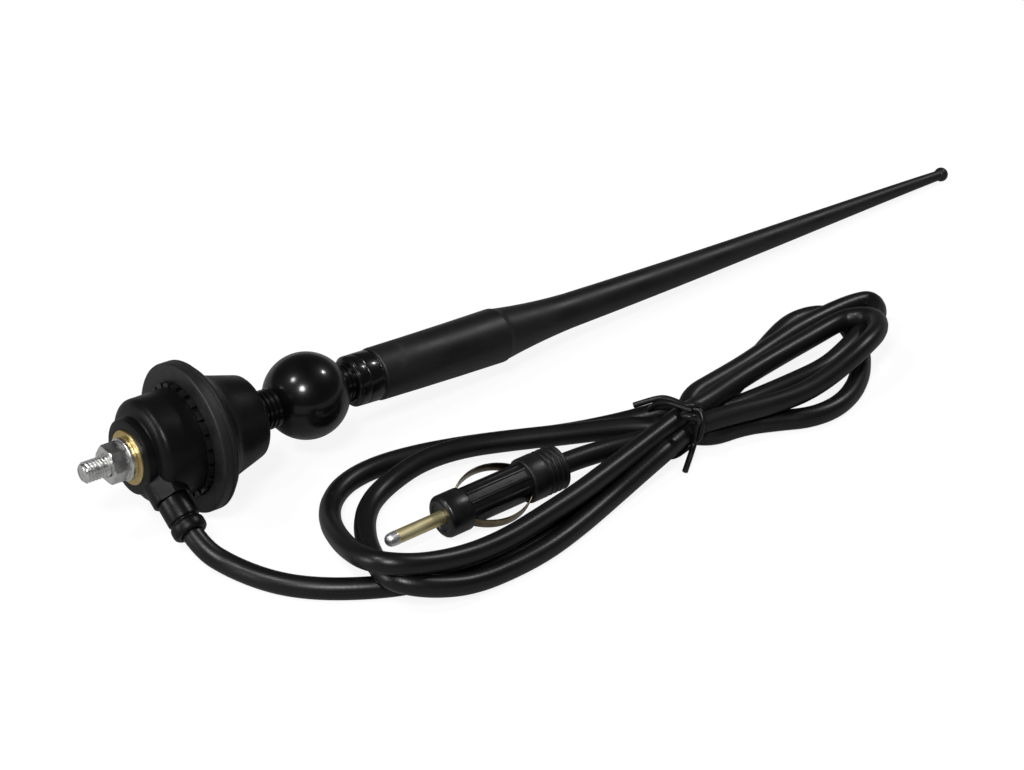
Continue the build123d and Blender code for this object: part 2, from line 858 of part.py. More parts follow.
export_step(ball_screw.part, "parts/ball_screw.step")
cable_grommet.part.label = "cable_grommet"
export_step(cable_grommet.part, "parts/cable_grommet.step")
core_wire.part.label = "core_wire"
export_step(core_wire.part, "parts/core_wire.step")
mast_ball_half.part.label = "mast_ball_half"
export_step(mast_ball_half.part, "parts/mast_ball_half.step")
ferrule.part.label = "ferrule"
export_step(ferrule.part, "parts/ferrule.step")
mast_insert.part.label = "mast_insert"
export_step(mast_insert.part, "parts/mast_insert.step")
mast_core.part.label = "mast_core"
export_step(mast_core.part, "parts/mast_core.step")
mast_rubber.part.label = "mast_rubber"
export_step(mast_rubber.part, "parts/mast_rubber.step")
cable_lead.part.label = "cable_lead"
export_step(cable_lead.part, "parts/cable_lead.step")
cable_hank.part.label = "cable_hank"
export_step(cable_hank.part, "parts/cable_hank.step")
twist_tie.part.label = "twist_tie"
export_step(twist_tie.part, "parts/twist_tie.step")
cable_tail.part.label = "cable_tail"
export_step(cable_tail.part, "parts/cable_tail.step")
plug_tip.part.label = "plug_tip"
export_step(plug_tip.part, "parts/plug_tip.step")
plug_pin.part.label = "plug_pin"
export_step(plug_pin.part, "parts/plug_pin.step")
plug_head.part.label = "plug_head"
export_step(plug_head.part, "parts/plug_head.step")
plug_body.part.label = "plug_body"
export_step(plug_body.part, "parts/plug_body.step")
plug_spring_far.part.label = "plug_spring_far"
export_step(plug_spring_far.part, "parts/plug_spring_far.step")
plug_spring_near.part.label = "plug_spring_near"
export_step(plug_spring_near.part, "parts/plug_spring_near.step")
plug_boot.part.label = "plug_boot"
export_step(plug_boot.part, "parts/plug_boot.step")

# Sizes to read against the drawing, and cable volume against section times length
section = 3.14159 * cable_r**2
lead_length = sum(edge.length for edge in lead_path.edges())
tail_length = sum(edge.length for edge in tail_path.edges())
print("pitch", round(degrees(pitch), 3), "ball", tuple(ball))
print("along", tuple(along), "hinge", tuple(hinge_dir), "boss", tuple(boss_dir))
print("lead", round(lead_length, 1), "volume", cable_lead.part.volume, "section x length", section * lead_length)
print("tail", round(tail_length, 1), "volume", cable_tail.part.volume, "section x length", section * tail_length)
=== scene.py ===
# %% [markdown]
# # A car mast aerial
# The aerial lies on a white table: a clamped base, a ball joint, a rubber mast, and a tied hank of
# cable that ends in a radio plug. The CAD solids are loaded first and stay where they are. Almost
# every piece that shows is then modelled again with Blender's own tools at the same place and size,
# because the solids come in as flat triangles and their edges are razor sharp.

import json
import math

import bpy
from mathutils import Matrix, Vector


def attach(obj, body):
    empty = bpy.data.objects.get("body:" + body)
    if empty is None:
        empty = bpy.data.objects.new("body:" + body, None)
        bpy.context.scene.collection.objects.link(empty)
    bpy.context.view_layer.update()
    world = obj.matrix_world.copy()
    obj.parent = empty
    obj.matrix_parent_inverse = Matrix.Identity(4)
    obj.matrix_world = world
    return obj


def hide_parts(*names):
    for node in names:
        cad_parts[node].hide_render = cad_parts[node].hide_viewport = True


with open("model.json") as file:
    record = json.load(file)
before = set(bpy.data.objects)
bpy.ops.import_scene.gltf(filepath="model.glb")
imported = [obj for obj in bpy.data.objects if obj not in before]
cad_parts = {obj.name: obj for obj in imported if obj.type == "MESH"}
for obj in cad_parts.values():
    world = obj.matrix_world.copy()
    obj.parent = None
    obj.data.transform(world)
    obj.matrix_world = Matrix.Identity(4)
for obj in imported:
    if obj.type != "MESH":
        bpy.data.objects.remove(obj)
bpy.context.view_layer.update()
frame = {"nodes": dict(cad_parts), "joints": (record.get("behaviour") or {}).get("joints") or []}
MM = 0.001

# %% [markdown]
# The aerial leans a little: it rests on the rim of its pad and on the bead at its tip. All its
# turned pieces share one axis through the ball, so they are modelled straight along X and moved
# into place with one matrix. The cable's boss and the plug have axes of their own.

# %% Axes of the aerial, the ball joint, the boss and the plug
ball_joint = frame["joints"][0]
ball = Vector(ball_joint["pos_m"])
hinge = Vector(ball_joint["axis"])
pitch = math.radians(3.74134)
along = Vector((math.cos(pitch), 0, -math.sin(pitch)))
upward = Vector((math.sin(pitch), 0, math.cos(pitch)))
toward = Vector((0, -1, 0))
boss_drop = math.radians(30)
boss_dir = toward * math.cos(boss_drop) - upward * math.sin(boss_drop)
boss_station = -43.3
boss_foot = ball + along * (boss_station * MM)
plug_yaw = math.radians(-0.95)
plug_dir = Vector((math.cos(plug_yaw), math.sin(plug_yaw), 0))


def lay(x, y, z):
    """A point of the cable's lay, in millimetres from the spot on the floor under the ball."""
    return Vector((ball.x + x * MM, ball.y + y * MM, z * MM))


def axis_frame(origin, x_dir, z_near):
    """A matrix whose X axis is x_dir and whose Z axis is as near to z_near as it can be."""
    x_axis = x_dir.normalized()
    y_axis = z_near.cross(x_axis).normalized()
    z_axis = x_axis.cross(y_axis)
    turn = Matrix((x_axis, y_axis, z_axis)).transposed().to_4x4()
    return Matrix.Translation(origin) @ turn


plug_tip = lay(-11.3, -46.1, 5.7)
aerial_frame = axis_frame(ball, along, upward)
hinge_frame = axis_frame(ball, hinge, upward)
boss_frame = axis_frame(boss_foot, boss_dir, along)
plug_roll = Matrix.Rotation(math.radians(24), 3, plug_dir)
plug_frame = axis_frame(plug_tip, plug_dir, plug_roll @ Vector((0, 0, 1)))
print("ball at", [round(c / MM, 2) for c in ball], "boss towards", [round(c, 3) for c in boss_dir])

# %% [markdown]
# The photograph was taken from above and to one side with a long lens, so the mast hardly tapers
# by distance. The camera goes in first, because every later choice is judged through it.

# %% Camera
bpy.ops.object.select_all(action="DESELECT")
camera_place = (-0.36982, -0.44831, 0.37091)
camera_turn = (math.radians(56.656), 0, math.radians(-38.248))
bpy.ops.object.camera_add(location=camera_place, rotation=camera_turn)
camera = bpy.context.active_object
camera.name = "photo_camera"
camera.data.sensor_width = 36
camera.data.lens = 98.4375
bpy.context.scene.camera = camera
bpy.context.scene.view_settings.view_transform = "Standard"
print("camera at", [round(c, 3) for c in camera.location])

# %% [markdown]
# The picture's background is plain white. A white floor under studio light would only look light
# grey, and more light would bleach the aerial. So rays from the camera, and rays mirrored in gloss
# or passing through, see a floor that glows a little, while the light that falls on the aerial is
# bounced by a greyer paint. The camera sees that paint almost white, and the part of it that does
# not glow keeps the soft shadow.

# %% Floor
bpy.ops.mesh.primitive_plane_add(size=6)
floor = bpy.context.active_object
floor.name = "white_table"
table_white = bpy.data.materials.new("table_white")
table_white.use_nodes = True
nodes = table_white.node_tree.nodes
link = table_white.node_tree.links.new
nodes.remove(nodes["Principled BSDF"])
rays = nodes.new("ShaderNodeLightPath")
tone = nodes.new("ShaderNodeMapRange")
tone.inputs["To Min"].default_value = 0.32
tone.inputs["To Max"].default_value = 0.9
link(rays.outputs["Is Camera Ray"], tone.inputs["Value"])
paint = nodes.new("ShaderNodeBsdfDiffuse")
link(tone.outputs["Result"], paint.inputs["Color"])
glow = nodes.new("ShaderNodeEmission")
glow.inputs["Strength"].default_value = 1.06
seen = nodes.new("ShaderNodeMath")
seen.operation = "MAXIMUM"
seen_all = nodes.new("ShaderNodeMath")
seen_all.operation = "MAXIMUM"
share = nodes.new("ShaderNodeMath")
share.operation = "MULTIPLY"
share.inputs[1].default_value = 0.84
mirrored = nodes.new("ShaderNodeMath")
mirrored.operation = "MULTIPLY"
mirrored.inputs[1].default_value = 0.08
link(rays.outputs["Is Camera Ray"], seen.inputs[0])
link(rays.outputs["Is Glossy Ray"], mirrored.inputs[0])
link(mirrored.outputs[0], seen.inputs[1])
link(seen.outputs[0], seen_all.inputs[0])
link(rays.outputs["Is Transmission Ray"], seen_all.inputs[1])
link(seen_all.outputs[0], share.inputs[0])
blend = nodes.new("ShaderNodeMixShader")
link(share.outputs[0], blend.inputs["Fac"])
link(paint.outputs[0], blend.inputs[1])
link(glow.outputs[0], blend.inputs[2])
link(blend.outputs[0], nodes["Material Output"].inputs["Surface"])
floor.data.materials.append(table_white)
print("floor", [round(side, 2) for side in floor.dimensions])

# %% [markdown]
# The black ball is a map of the studio: it shows a broad light over the camera's left shoulder, a
# narrower one further back and a small one over the mast. Each of these lamps stands in the
# direction that its highlight points to, with a size that matches the highlight, and a wide low one
# at the left lights the end of the base. The grey world fills the rest. Low down it shows a pale
# backdrop to gloss, which gives the black its pale rims, and the camera sees it white.

# %% Lights
studio = bpy.data.worlds.new("studio")
studio.use_nodes = True
nodes = studio.node_tree.nodes
link = studio.node_tree.links.new
nodes["Background"].inputs["Color"].default_value = (0.055, 0.055, 0.057, 1)
backdrop = nodes.new("ShaderNodeBackground")
backdrop.inputs["Color"].default_value = (0.6, 0.6, 0.6, 1)
direction = nodes.new("ShaderNodeTexCoord")
height = nodes.new("ShaderNodeSeparateXYZ")
link(direction.outputs["Generated"], height.inputs[0])
low_band = nodes.new("ShaderNodeMapRange")
low_band.inputs["From Min"].default_value = 0.13
low_band.inputs["From Max"].default_value = 0.0
link(height.outputs["Z"], low_band.inputs["Value"])
rays = nodes.new("ShaderNodeLightPath")
mirrored = nodes.new("ShaderNodeMath")
mirrored.operation = "MULTIPLY"
link(rays.outputs["Is Glossy Ray"], mirrored.inputs[0])
link(low_band.outputs["Result"], mirrored.inputs[1])
blend = nodes.new("ShaderNodeMixShader")
link(mirrored.outputs[0], blend.inputs["Fac"])
link(nodes["Background"].outputs[0], blend.inputs[1])
link(backdrop.outputs[0], blend.inputs[2])
white_wall = nodes.new("ShaderNodeBackground")
white_wall.inputs["Color"].default_value = (1, 1, 1, 1)
behind = nodes.new("ShaderNodeMixShader")
link(rays.outputs["Is Camera Ray"], behind.inputs["Fac"])
link(blend.outputs[0], behind.inputs[1])
link(white_wall.outputs[0], behind.inputs[2])
link(behind.outputs[0], nodes["World Output"].inputs["Surface"])
bpy.context.scene.world = studio
lamp_distance = 1.5


def soft_light(name, direction, size, watts):
    """A round lamp that looks at the ball from the given direction."""
    aim = Vector(direction).normalized()
    turn = aim.to_track_quat("Z", "Y").to_euler()
    bpy.ops.object.light_add(type="AREA", location=ball + aim * lamp_distance, rotation=turn)
    lamp = bpy.context.active_object
    lamp.name = name
    lamp.data.shape = "DISK"
    lamp.data.size = size
    lamp.data.energy = watts
    print(name, "of", watts, "W at", [round(c, 2) for c in lamp.location])


soft_light("key_light", (-0.459, -0.432, 0.777), 0.34, 13.0)
soft_light("back_light", (-0.467, 0.158, 0.870), 0.24, 6.0)
soft_light("mast_light", (0.685, -0.084, 0.722), 0.14, 4.5)
soft_light("side_light", (-0.88, 0.35, 0.3), 0.6, 6.0)

# %% [markdown]
# Almost everything here is black, and what tells one black from another is its gloss and its
# grain. One recipe serves every finish: a slow noise drifts the colour and the roughness, with a
# paler tone at its peaks for scuffs, and a fine noise lifts the surface. Both read Object
# coordinates turned along the aerial, so a finish can be stretched along the axis or around it.


# %% Recipe for a finish
def finish(
    name, colours, roughness, drift_size, grain_size, relief, metallic=0.0, shine=0.35,
    stretch=(1, 1, 1),
):
    """A material of two colours and a scuffed one, two roughnesses, and grain of relief mm."""
    material = bpy.data.materials.new(name)
    material.use_nodes = True
    nodes = material.node_tree.nodes
    link = material.node_tree.links.new
    shader = nodes["Principled BSDF"]
    shader.inputs["Metallic"].default_value = metallic
    shader.inputs["Specular IOR Level"].default_value = shine
    place = nodes.new("ShaderNodeTexCoord")
    axis = nodes.new("ShaderNodeMapping")
    axis.inputs["Rotation"].default_value = (0, -pitch, 0)
    axis.inputs["Scale"].default_value = stretch
    link(place.outputs["Object"], axis.inputs["Vector"])
    drift = nodes.new("ShaderNodeTexNoise")
    drift.inputs["Scale"].default_value = 1 / (drift_size * MM)
    drift.inputs["Detail"].default_value = 4
    link(axis.outputs["Vector"], drift.inputs["Vector"])
    shade = nodes.new("ShaderNodeValToRGB")
    shade.color_ramp.elements[0].position = 0.3
    shade.color_ramp.elements[1].position = 0.7
    shade.color_ramp.elements[0].color = (*colours[0], 1)
    shade.color_ramp.elements[1].color = (*colours[1], 1)
    wear = shade.color_ramp.elements.new(0.8)
    paler = 1.05 if metallic else 3
    wear.color = (*(paler * c for c in colours[1]), 1)
    link(drift.outputs["Fac"], shade.inputs["Fac"])
    link(shade.outputs["Color"], shader.inputs["Base Color"])
    gloss = nodes.new("ShaderNodeMapRange")
    gloss.inputs["From Min"].default_value = 0.3
    gloss.inputs["From Max"].default_value = 0.7
    gloss.inputs["To Min"].default_value = roughness[0]
    gloss.inputs["To Max"].default_value = roughness[1]
    link(drift.outputs["Fac"], gloss.inputs["Value"])
    link(gloss.outputs["Result"], shader.inputs["Roughness"])
    grain = nodes.new("ShaderNodeTexNoise")
    grain.inputs["Scale"].default_value = 1 / (grain_size * MM)
    grain.inputs["Detail"].default_value = 2
    link(axis.outputs["Vector"], grain.inputs["Vector"])
    lift = nodes.new("ShaderNodeBump")
    lift.inputs["Distance"].default_value = relief * MM
    link(grain.outputs["Fac"], lift.inputs["Height"])
    link(lift.outputs["Normal"], shader.inputs["Normal"])
    return material


def dress(piece, body, material, slot, *nodes):
    """Give a finished piece its material, its body and the CAD nodes it stands for; slot is not
    used.
    """
    piece.data.materials.clear()
    piece.data.materials.append(material)
    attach(piece, body)
    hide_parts(*nodes)
    print(piece.name, "stands for", ", ".join(nodes))


# %% [markdown]
# The cable is one length of soft black coaxial lead, a little over a metre from the boss on the
# barrel to the boot of the plug. It is folded into a figure of eight and tied where it crosses
# itself. A curve with one spline and a round bevel is the natural way: the control points are laid
# out along the photograph, turn by turn, with a height that stacks one strand on the next.

# %% Route of the cable
cable_route = [
    boss_foot + boss_dir * (18.8 * MM),
    boss_foot + boss_dir * (25.8 * MM),
    # down to the floor, under the near side of the left loop and on to the tie
    lay(-40.5, -29.2, 2.5), lay(-36.5, -39.5, 2.5), lay(-30.5, -47, 2.5), lay(-22, -53.5, 2.5),
    lay(-12.5, -58.5, 2.5), lay(0, -60.5, 2.5), lay(14, -60, 2.5), lay(28, -58.5, 2.5),
    lay(42, -57, 2.5), lay(56, -55.3, 2.5), lay(69, -52.5, 2.5), lay(79, -49, 2.5),
    # right loop, lowest turn
    lay(88, -45.5, 2.5), lay(98, -41.5, 2.5), lay(106.3, -37.8, 2.5), lay(114, -34.4, 2.5),
    lay(122.3, -31.2, 2.5), lay(128.7, -31.2, 2.5), lay(133, -33.4, 2.5), lay(134.6, -38.7, 2.5),
    lay(131.5, -45.9, 2.5), lay(126.7, -52.9, 2.5), lay(119.9, -59.4, 2.5), lay(112.7, -63.6, 2.5),
    lay(105.6, -65.4, 2.5), lay(98.5, -64.6, 2.5), lay(92, -61, 2.5), lay(84.2, -57.2, 2.5),
    lay(73.9, -56.2, 2.7), lay(68, -50, 4.5),
    # left loop, inner turn
    lay(60.5, -44, 5), lay(48, -38, 5), lay(35.5, -31.5, 5), lay(24.5, -26.5, 5),
    lay(14, -24.5, 4.5), lay(4, -25.5, 3), lay(-3, -28.5, 2.5), lay(-8.5, -34, 2.8),
    lay(-13.5, -42, 4), lay(-17, -50, 5.6), lay(-19.8, -57.5, 7.3), lay(-18, -62.3, 7.2),
    lay(-12, -65.7, 5.5), lay(-3, -67.2, 3.2), lay(8, -67.2, 2.5), lay(18, -66.5, 2.5),
    lay(29, -64, 2.5), lay(40, -61, 2.8), lay(51, -59, 4.6), lay(60.3, -57.4, 6.1),
    # right loop, middle turn
    lay(69.8, -54, 5.7), lay(76.3, -45.8, 7.3), lay(86.6, -44.9, 7.5), lay(96, -43.3, 7),
    lay(105.8, -41.5, 7), lay(117, -39.4, 7), lay(127.9, -38.8, 7), lay(134.3, -38.9, 7),
    lay(138, -39.1, 6.8), lay(141.2, -39.8, 6.6), lay(141.4, -42, 6.5), lay(139.3, -45.2, 6.5),
    lay(134.9, -48.1, 6.5), lay(128.8, -49.9, 6.6), lay(120.8, -53.2, 6.8), lay(112, -55.2, 6.2),
    lay(102.3, -53.9, 5), lay(91.5, -52.4, 4), lay(80.5, -51.2, 3.8), lay(71.7, -45.9, 6.5),
    # left loop, outer turn
    lay(62.2, -41.3, 4.2), lay(49, -34.5, 2.5), lay(38, -28.7, 2.5), lay(27, -23.5, 2.5),
    lay(16, -19.5, 2.5), lay(6, -17.6, 2.5), lay(-3, -18.6, 2.5), lay(-10, -23, 2.6),
    lay(-15, -30, 3.6), lay(-19, -39, 6.4), lay(-21.7, -47.5, 9.2), lay(-22.7, -54.5, 11.4),
    lay(-20.5, -60, 12.2), lay(-13.5, -63, 10.6), lay(-3, -63.8, 8.3), lay(8, -63.7, 7.5),
    lay(20, -62, 7.5), lay(32, -60, 7.5), lay(44, -57.3, 7.7), lay(53, -55.5, 8.1),
    lay(61, -54, 8.7),
    # right loop, upper turn
    lay(69, -52.3, 9), lay(77, -51.5, 8.8), lay(86.6, -49.1, 8.2), lay(96.5, -47.2, 7.8),
    lay(107.6, -45.6, 7.5), lay(118.5, -44.5, 7.5), lay(128, -43.9, 8), lay(130.9, -46.5, 9),
    lay(132.3, -49.5, 10), lay(131.2, -53.3, 11), lay(126.7, -57.5, 11.8), lay(120.3, -60, 12),
    lay(113.8, -61.2, 10.8), lay(106, -61.8, 9), lay(98, -61.6, 7.8), lay(89, -60, 7.5),
    lay(80, -57.5, 7.5), lay(71, -55, 6.8),
    # out of the tie and into the boot of the plug
    lay(59.5, -50.5, 5), lay(51, -48, 5),
    plug_tip + plug_dir * (51.1 * MM),
    plug_tip + plug_dir * (44.1 * MM),
]


# %% Cable
def drawn_wire(name, routes, radius, roundness):
    """A round wire of a radius in millimetres, with one spline for each route of points."""
    curve = bpy.data.curves.new(name, "CURVE")
    curve.dimensions = "3D"
    for route in routes:
        spline = curve.splines.new("NURBS")
        spline.points.add(len(route) - 1)
        for knot, spot in zip(spline.points, route):
            knot.co = (*spot, 1)
        spline.order_u = 3
        spline.use_endpoint_u = True
        spline.resolution_u = 8
        print(name, "of", len(route), "points,", round(spline.calc_length(), 3), "m")
    curve.bevel_depth = radius * MM
    curve.bevel_resolution = roundness
    curve.use_fill_caps = True
    wire = bpy.data.objects.new(name, curve)
    bpy.context.scene.collection.objects.link(wire)
    return wire


cable = drawn_wire("cable", [cable_route], 2.5, 8)

# %% [markdown]
# Under the thin sheath lies a woven screen, and it prints through as faint rings in the highlights.
# A wave along the cable's own UV map gives those rings, because they have to follow the cable round
# every bend.

# %% Cable vinyl
cable_vinyl = finish(
    "cable_vinyl", ((0.003, 0.003, 0.0033), (0.006, 0.006, 0.0064)), (0.33, 0.41), 16, 0.6, 0.012,
    shine=0.42,
)
nodes = cable_vinyl.node_tree.nodes
link = cable_vinyl.node_tree.links.new
length_map = nodes.new("ShaderNodeTexCoord")
rings = nodes.new("ShaderNodeTexWave")
rings.inputs["Scale"].default_value = 300
rings.inputs["Distortion"].default_value = 1.2
rings.inputs["Detail"].default_value = 1
link(length_map.outputs["UV"], rings.inputs["Vector"])
ring_lift = nodes.new("ShaderNodeBump")
ring_lift.inputs["Distance"].default_value = 0.03 * MM
ring_lift.inputs["Strength"].default_value = 0.12
link(rings.outputs["Fac"], ring_lift.inputs["Height"])
link(nodes["Bump"].outputs["Normal"], ring_lift.inputs["Normal"])
link(ring_lift.outputs["Normal"], nodes["Principled BSDF"].inputs["Normal"])
dress(cable, "base", cable_vinyl, "cable", "cable_lead", "cable_hank", "cable_tail")

# %% [markdown]
# Most of the aerial was turned on a lathe or moulded in a round mould, so most pieces start as half
# an outline. One vertex is drawn out point by point with Extrude, and Spin carries the chain once
# round the axis. A Bevel modifier then breaks the sharp corners, which is what catches the light.


# %% Lathe work
weld = 0.002 * MM
smooth_below = math.radians(35)


def only(piece):
    """Select one object and make it active, so that an operator acts on nothing else."""
    bpy.ops.object.select_all(action="DESELECT")
    piece.select_set(True)
    bpy.context.view_layer.objects.active = piece


def close_mesh():
    """In edit mode: merge the seam and the poles, and turn all faces outwards."""
    bpy.ops.mesh.select_all(action="SELECT")
    bpy.ops.mesh.remove_doubles(threshold=weld)
    bpy.ops.mesh.normals_make_consistent(inside=False)


def turned(name, outline, steps=96):
    """Spin an outline of (station, radius) points in millimetres once round the X axis."""
    bpy.ops.object.select_all(action="DESELECT")
    bpy.ops.mesh.primitive_plane_add(size=MM)
    piece = bpy.context.active_object
    piece.name = name
    piece.data.name = name
    bpy.ops.object.mode_set(mode="EDIT")
    bpy.ops.mesh.merge(type="CENTER")
    bpy.ops.transform.translate(value=(outline[0][0] * MM, 0, outline[0][1] * MM))
    for (s0, r0), (s1, r1) in zip(outline, outline[1:]):
        step = ((s1 - s0) * MM, 0, (r1 - r0) * MM)
        bpy.ops.mesh.extrude_region_move(TRANSFORM_OT_translate={"value": step})
    bpy.ops.mesh.select_all(action="SELECT")
    bpy.ops.mesh.spin(steps=steps, angle=math.tau, center=(0, 0, 0), axis=(1, 0, 0))
    close_mesh()
    bpy.ops.object.mode_set(mode="OBJECT")
    return piece


def arc(middle, radius, start, end, points):
    """Outline points on a circle about (middle, 0), from one angle to another in degrees."""
    angles = [math.radians(start + (end - start) * k / (points - 1)) for k in range(points)]
    return [(middle + radius * math.cos(a), radius * math.sin(a)) for a in angles]


def soften(piece, width, segments=3, corner=28):
    """Round the corners sharper than corner degrees, and shade the rest smooth."""
    only(piece)
    bpy.ops.object.modifier_add(type="BEVEL")
    bevel = piece.modifiers[-1]
    bevel.width = width * MM
    bevel.segments = segments
    bevel.limit_method = "ANGLE"
    bevel.angle_limit = math.radians(corner)
    bpy.ops.object.modifier_apply(modifier=bevel.name)
    bpy.ops.object.mode_set(mode="EDIT")
    close_mesh()
    bpy.ops.object.mode_set(mode="OBJECT")
    bpy.ops.object.shade_smooth_by_angle(angle=smooth_below)


def carve(piece, tool, operation):
    """Add, cut or intersect a piece with a tool, and throw the tool away."""
    only(piece)
    bpy.ops.object.modifier_add(type="BOOLEAN")
    cut = piece.modifiers[-1]
    cut.operation = operation
    cut.solver = "MANIFOLD"
    cut.object = tool
    bpy.ops.object.modifier_apply(modifier=cut.name)
    bpy.data.objects.remove(tool)
    bpy.ops.object.mode_set(mode="EDIT")
    close_mesh()
    bpy.ops.object.mode_set(mode="OBJECT")


def settle(piece, place):
    """Move a piece from the X axis to its place and keep that place in its mesh."""
    only(piece)
    piece.matrix_world = place
    bpy.ops.object.transform_apply(location=True, rotation=True, scale=True)
    print(piece.name, len(piece.data.polygons), "faces")


# %% [markdown]
# The mast is one rubber moulding: a thick sleeve over the ferrule's spigot, a flare, and a long
# taper that ends in a bead. The flare is drawn as a few points of a smooth curve. Rubber is the
# dullest black of the object, with a fine even grain and a little dust.

# %% Rubber mast
mast_black = finish(
    "mast_black", ((0.005, 0.005, 0.0053), (0.009, 0.009, 0.0093)), (0.4, 0.52), 9, 0.35, 0.03,
    shine=0.43,
)
sag_start, sag_length, sag_depth = 6, 202.5, 10.3
flare_start, flare_middle, flare_end = (55.75, 6.5), (66, 5.2), (78, 4.36)


def sag(piece):
    """Let a piece on the X axis hang by its own weight between the ball and the tip of the mast."""
    for vertex in piece.data.vertices:
        share = min(max((vertex.co.x / MM - sag_start) / sag_length, 0), 1)
        vertex.co.z -= sag_depth * share * (1 - share) ** 1.6 * MM


def flare_radius(station):
    """Radius of the flare, on a parabola through its start, its middle and its end."""
    (s0, r0), (s1, r1), (s2, r2) = flare_start, flare_middle, flare_end
    a = r0 * (station - s1) * (station - s2) / ((s0 - s1) * (s0 - s2))
    b = r1 * (station - s0) * (station - s2) / ((s1 - s0) * (s1 - s2))
    c = r2 * (station - s0) * (station - s1) / ((s2 - s0) * (s2 - s1))
    return a + b + c


mast_outline = [
    (34, 0), (34, 4.3), (18.75, 4.3), (18.75, 6.0), (19.2, 6.4), (30, 6.5), (42, 6.62),
    (54.9, 6.74), (55.5, 6.68),
]
mast_outline += [(s, flare_radius(s)) for s in (55.9, 57.5, 59.5, 62, 65, 68, 71, 74.5, 78)]
mast_outline += [
    (88, 4.14), (100, 3.87), (111, 3.62), (122, 3.38), (133, 3.13), (144, 2.89), (155, 2.63),
    (165, 2.38), (176, 2.12), (186, 1.87), (197, 1.6), (207.16, 1.35),
]
mast_outline += arc(208.5, 1.9, 128, 0, 12)
mast_rubber = turned("mast_rubber", mast_outline, 72)
soften(mast_rubber, 0.12, 2, 20)
sag(mast_rubber)
settle(mast_rubber, aerial_frame)
dress(mast_rubber, "mast", mast_black, "rubber", "mast_rubber")

# %% [markdown]
# The ferrule and the two halves of the ball are metal with a thick gloss paint. The ferrule has a
# stepped nose and two fine grooves. The ball is turned whole with its neck, twice, and a turned
# tool then cuts one half away from each copy, which leaves the fine split that the mast tilts on.

# %% Gloss black and the ferrule
gloss_black = finish(
    "gloss_black", ((0.0015, 0.0015, 0.0016), (0.003, 0.003, 0.0032)), (0.3, 0.4), 5, 0.8, 0.008,
    shine=0.14,
)
gloss_shader = gloss_black.node_tree.nodes["Principled BSDF"]
gloss_shader.inputs["Coat Weight"].default_value = 0.6
gloss_shader.inputs["Coat Roughness"].default_value = 0.15
ferrule_outline = [
    (11.3, 4.6), (11.3, 5.1), (11.5, 5.4), (11.9, 5.8), (12.1, 5.82), (12.25, 6.12), (14.2, 6.15),
    (14.35, 6.0), (14.6, 6.0), (14.75, 6.15), (17.9, 6.17), (18.05, 5.95), (18.3, 5.95),
    (18.45, 6.15), (18.68, 6.1), (18.68, 3.2), (12.6, 3.2), (12.6, 4.6), (11.3, 4.6),
]
ferrule = turned("ferrule", ferrule_outline)
soften(ferrule, 0.05, 2)
sag(ferrule)
settle(ferrule, aerial_frame)
dress(ferrule, "mast", gloss_black, "black_metal", "ferrule")

# %% Base half of the ball
ball_r = 10.2
tool_r = 10.5
base_ball_outline = [(-30.2, 0), (-30.2, 4.65), (-15.2, 4.65)]
for ring in range(4):
    at = -14.9 + ring * 1.15
    base_ball_outline += [(at, 4.7), (at + 0.45, 4.7), (at + 0.6, 4.3), (at + 0.95, 4.3)]
base_ball_outline += [(-10.2, 4.7), (-9.3, 4.7)]
base_ball_outline += arc(0, ball_r, 152, 0, 64)
base_ball = turned("base_ball_half", base_ball_outline, 128)
base_tool = turned(
    "base_tool",
    [(-10.8, 0), (-10.8, 2.8), (-5.4, 2.8), (-5.4, 1.6), (0, 1.6)] + arc(0, tool_r, 90, 0, 24),
)
settle(base_ball, aerial_frame)
settle(base_tool, hinge_frame)
carve(base_ball, base_tool, "DIFFERENCE")
only(base_ball)
bpy.ops.object.shade_smooth_by_angle(angle=smooth_below)
dress(base_ball, "base", gloss_black, "black_metal", "base_ball_half")

# %% Mast half of the ball
mast_ball_outline = arc(0, ball_r, 180, 26.2, 64)
mast_ball_outline += [
    (9.5, 4.5), (9.8, 4.5), (9.95, 4.2), (10.25, 4.2), (10.4, 4.5), (12.5, 4.5), (12.5, 3), (24, 3),
    (24, 0),
]
mast_ball = turned("mast_ball_half", mast_ball_outline, 128)
mast_tool = turned("mast_tool", arc(0, tool_r, 180, 90.56, 24) + [(0.1, 1.6), (6.3, 1.6), (6.3, 0)])
settle(mast_ball, aerial_frame)
settle(mast_tool, hinge_frame)
carve(mast_ball, mast_tool, "DIFFERENCE")
only(mast_ball)
bpy.ops.object.shade_smooth_by_angle(angle=smooth_below)
dress(mast_ball, "mast", gloss_black, "black_metal", "mast_ball_half")

# %% [markdown]
# The base is a stack on one spigot: a moulded dome, a rubber pad that lies on the car's wing, and a
# barrel that draws up from below. The dome and the barrel are the same satin plastic. The pad is
# matt rubber, with a groove near its upper edge where the mould parted.

# %% Satin plastic and the dome
satin_black = finish(
    "satin_black", ((0.0025, 0.0025, 0.0027), (0.0055, 0.0055, 0.0057)), (0.3, 0.42), 7, 0.45,
    0.025, shine=0.2,
)
dome_outline = [
    (-15.8, 4.8), (-15.8, 8.5), (-15.9, 8.95), (-16.15, 9.4), (-16.5, 9.75), (-17.0, 9.95),
    (-19.8, 10.75), (-22.7, 11.55), (-24.8, 12.2), (-25.7, 12.6), (-26.5, 13.15), (-27.3, 14.0),
    (-28.1, 15.1), (-28.8, 16.0), (-29.15, 16.35), (-29.45, 16.5), (-30.0, 16.75), (-30.0, 7.5),
    (-35.6, 7.5), (-35.6, 2.6), (-30.2, 2.6), (-30.2, 4.8), (-15.8, 4.8),
]
base_dome = turned("base_dome", dome_outline, 128)
soften(base_dome, 0.12, 2, 32)
settle(base_dome, aerial_frame)
dress(base_dome, "base", satin_black, "black_plastic", "base_dome")

